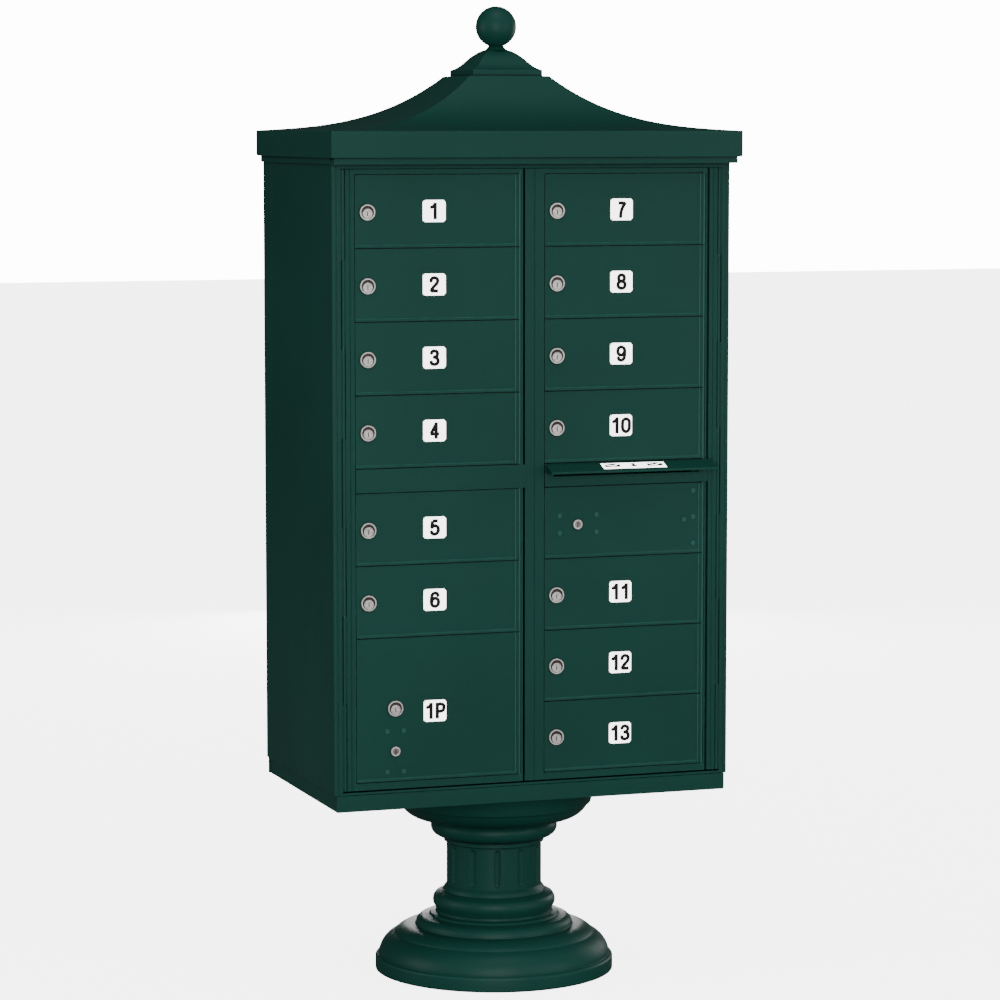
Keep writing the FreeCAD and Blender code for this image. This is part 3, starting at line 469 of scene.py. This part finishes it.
def ink_object(name, outlines, body):
    """One thin ink mesh made of flat outlines, riding on a body."""
    vertices = [point for outline in outlines for point in outline]
    faces = []
    first = 0
    for outline in outlines:
        faces.append(list(range(first, first + len(outline))))
        first += len(outline)
    mesh = bpy.data.meshes.new(name)
    mesh.from_pydata(vertices, [], faces)
    mesh.materials.append(INK)
    obj = bpy.data.objects.new(name, mesh)
    bpy.context.scene.collection.objects.link(obj)
    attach(obj, body)


def numeral(text, door):
    """Ink numeral on a number plate; each face lies a hair above the last so that overlaps stay clean."""
    width = GLYPH_PITCH * (len(text) - 1) + GLYPH_WIDTH
    x0, z0 = plate_centre(door)
    outlines = []
    for index, sign in enumerate(text):
        shift = index * GLYPH_PITCH - width / 2
        for line in GLYPHS[sign]:
            for outline in stroke_faces(rounded(line), STROKE_HALF):
                y = FRONT_Y - NUMERAL_LIFT - len(outlines) * FACE_STEP
                outlines.append([(x0 + (x + shift) * NUMERAL_HEIGHT * GLYPH_STRETCH, y,
                                  z0 + (z - 0.5) * NUMERAL_HEIGHT) for x, z in outline])
    ink_object("numeral_" + text, outlines, door)


for number, door in enumerate(TENANT_DOORS, 1):
    numeral(str(number), door)
numeral("1P", "parcel_door")


# The pictogram is drawn in (x, distance down the slope of the hood) from the middle of the label.
PICTOGRAM_LIFT = 0.45 * MM
ENVELOPE_FROM_MIDDLE = 42.0 * MM
ENVELOPE_HALF_X = 15.0 * MM
ENVELOPE_HALF_D = 7.8 * MM
ENVELOPE_GAP = 1.6 * MM
# Corners of the arrow in millimetres.
ARROW_SHAFT = [(-3.0, -8.0), (3.0, -8.0), (3.0, 0.5), (-3.0, 0.5)]
ARROW_HEAD = [(-8.5, 0.0), (8.5, 0.0), (0.0, 8.8)]


def envelope(middle):
    """Solid envelope sign: a flap and a two-part body with a light gap between them."""
    w, h, gap = ENVELOPE_HALF_X, ENVELOPE_HALF_D, ENVELOPE_GAP
    flap = [(middle - w + 2 * gap, -h), (middle + w - 2 * gap, -h), (middle, 0.0)]
    left = [(middle - w, h), (middle - w, gap - h), (middle, 2 * gap), (middle, h)]
    right = [(middle, h), (middle, 2 * gap), (middle + w, gap - h), (middle + w, h)]
    return [flap, left, right]


def hood_pictogram():
    """Two generic envelopes beside a downward arrow, lying on the hood label."""
    low, high = (Vector(corner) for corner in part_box("mail_slot_label"))
    run, fall = high.y - low.y, high.z - low.z
    down = Vector((0, -run, -fall)).normalized()
    out = Vector((0, -fall, run)).normalized()
    shapes = envelope(-ENVELOPE_FROM_MIDDLE) + envelope(ENVELOPE_FROM_MIDDLE)
    shapes.append([(x * MM, d * MM) for x, d in ARROW_SHAFT])
    shapes.append([(x * MM, d * MM) for x, d in ARROW_HEAD])
    outlines = []
    for shape in shapes:
        middle = (low + high) / 2 + out * (PICTOGRAM_LIFT + FACE_STEP * len(outlines))
        outlines.append([tuple(middle + Vector((x, 0, 0)) + down * d) for x, d in shape])
    ink_object("hood_pictogram", outlines, "right_leaf")


hood_pictogram()


# ---- stage --------------------------------------------------------------------------------------
AMBIENT_FRONT = 0.62
AMBIENT_BACK = 0.05
BACKDROP = 14.0
FLOOR_GLOW = 5.0
FLOOR_SIDE = 60.0
FLOOR_Z = -0.5 * MM
# name, place, target, side, watts
LIGHTS = (
    ("key", (-1.6, -5.2, 1.5), (0, 0, 1.0), 3.2, 172),
    ("fill", (3.4, -3.8, 1.2), (0, 0, 0.9), 2.6, 70),
    ("side", (-5.2, 0.6, 1.6), (0, 0, 0.9), 2.6, 90),
    ("top", (-0.3, -1.4, 5.5), (0, 0, 1.0), 2.6, 60),
    ("right", (4.6, 2.4, 1.4), (0, 0, 0.9), 2.0, 50),
    ("back", (1.6, 5.0, 0.8), (0, 0, 0.8), 1.4, 70),
    ("low", (-1.0, -3.6, 0.25), (0, 0, 0.3), 1.4, 20),
)
CAMERA_PLACE = (-2.311542, -6.667227, 1.625811)
CAMERA_YAW = 0.335408
CAMERA_PITCH = -0.102064
CAMERA_LENS = 133.98517
SENSOR_WIDTH = 36.0


def floor_material():
    """Pale floor; what the paint mirrors of it is kept dimmer than what the camera sees."""
    s = Shader("pale_floor")
    rays = s.add("ShaderNodeLightPath")
    drift = s.remap(s.noise(1.5, 3.0), 0.3, 0.7, 0.0, 1.0)
    tone = s.mix(drift, (0.90, 0.90, 0.90), (0.885, 0.885, 0.885))
    s.color(s.mix(rays.outputs["Is Camera Ray"], (0.16, 0.16, 0.16), tone))
    s.link(s.multiply(rays.outputs["Is Camera Ray"], FLOOR_GLOW), s.surface.inputs["Emission Strength"])
    s.set(Roughness=0.9, Emission_Color=(1.0, 1.0, 1.0, 1.0), Specular_IOR_Level=0.0)
    return s.material


def floor():
    bpy.ops.mesh.primitive_plane_add(size=FLOOR_SIDE, location=(0, 0, FLOOR_Z))
    obj = bpy.context.object
    obj.name = "floor"
    obj.data.materials.append(floor_material())


def area_light(name, place, target, size, watts):
    light = bpy.data.lights.new(name, "AREA")
    light.shape = "SQUARE"
    light.size = size
    light.energy = watts
    obj = bpy.data.objects.new(name, light)
    bpy.context.scene.collection.objects.link(obj)
    obj.location = place
    obj.rotation_euler = (Vector(target) - Vector(place)).to_track_quat("-Z", "Y").to_euler()


def world():
    """Plain light from all round, stronger in front; only the camera sees the bright backdrop."""
    sky = bpy.data.worlds.new("studio")
    sky.use_nodes = True
    tree = sky.node_tree
    background = tree.nodes["Background"]
    background.inputs["Color"].default_value = (1.0, 1.0, 1.0, 1.0)
    rays = tree.nodes.new("ShaderNodeLightPath")
    direction = tree.nodes.new("ShaderNodeTexCoord")
    axes = tree.nodes.new("ShaderNodeSeparateXYZ")
    ambient = tree.nodes.new("ShaderNodeMapRange")
    ambient.inputs["From Min"].default_value = -0.6
    ambient.inputs["From Max"].default_value = 0.5
    ambient.inputs["To Min"].default_value = AMBIENT_FRONT
    ambient.inputs["To Max"].default_value = AMBIENT_BACK
    strength = tree.nodes.new("ShaderNodeMapRange")
    strength.inputs["To Max"].default_value = BACKDROP
    tree.links.new(direction.outputs["Generated"], axes.inputs["Vector"])
    tree.links.new(axes.outputs["Y"], ambient.inputs["Value"])
    tree.links.new(ambient.outputs["Result"], strength.inputs["To Min"])
    tree.links.new(rays.outputs["Is Camera Ray"], strength.inputs["Value"])
    tree.links.new(strength.outputs["Result"], background.inputs["Strength"])
    bpy.context.scene.world = sky


def camera():
    data = bpy.data.cameras.new("camera")
    data.lens = CAMERA_LENS
    data.sensor_width = SENSOR_WIDTH
    data.clip_end = 100.0
    obj = bpy.data.objects.new("camera", data)
    bpy.context.scene.collection.objects.link(obj)
    obj.location = CAMERA_PLACE
    yaw, pitch = CAMERA_YAW, CAMERA_PITCH
    forward = Vector((math.sin(yaw) * math.cos(pitch), math.cos(yaw) * math.cos(pitch), math.sin(pitch)))
    obj.rotation_euler = forward.to_track_quat("-Z", "Y").to_euler()
    bpy.context.scene.camera = obj


floor()
world()
for light in LIGHTS:
    area_light(*light)
camera()
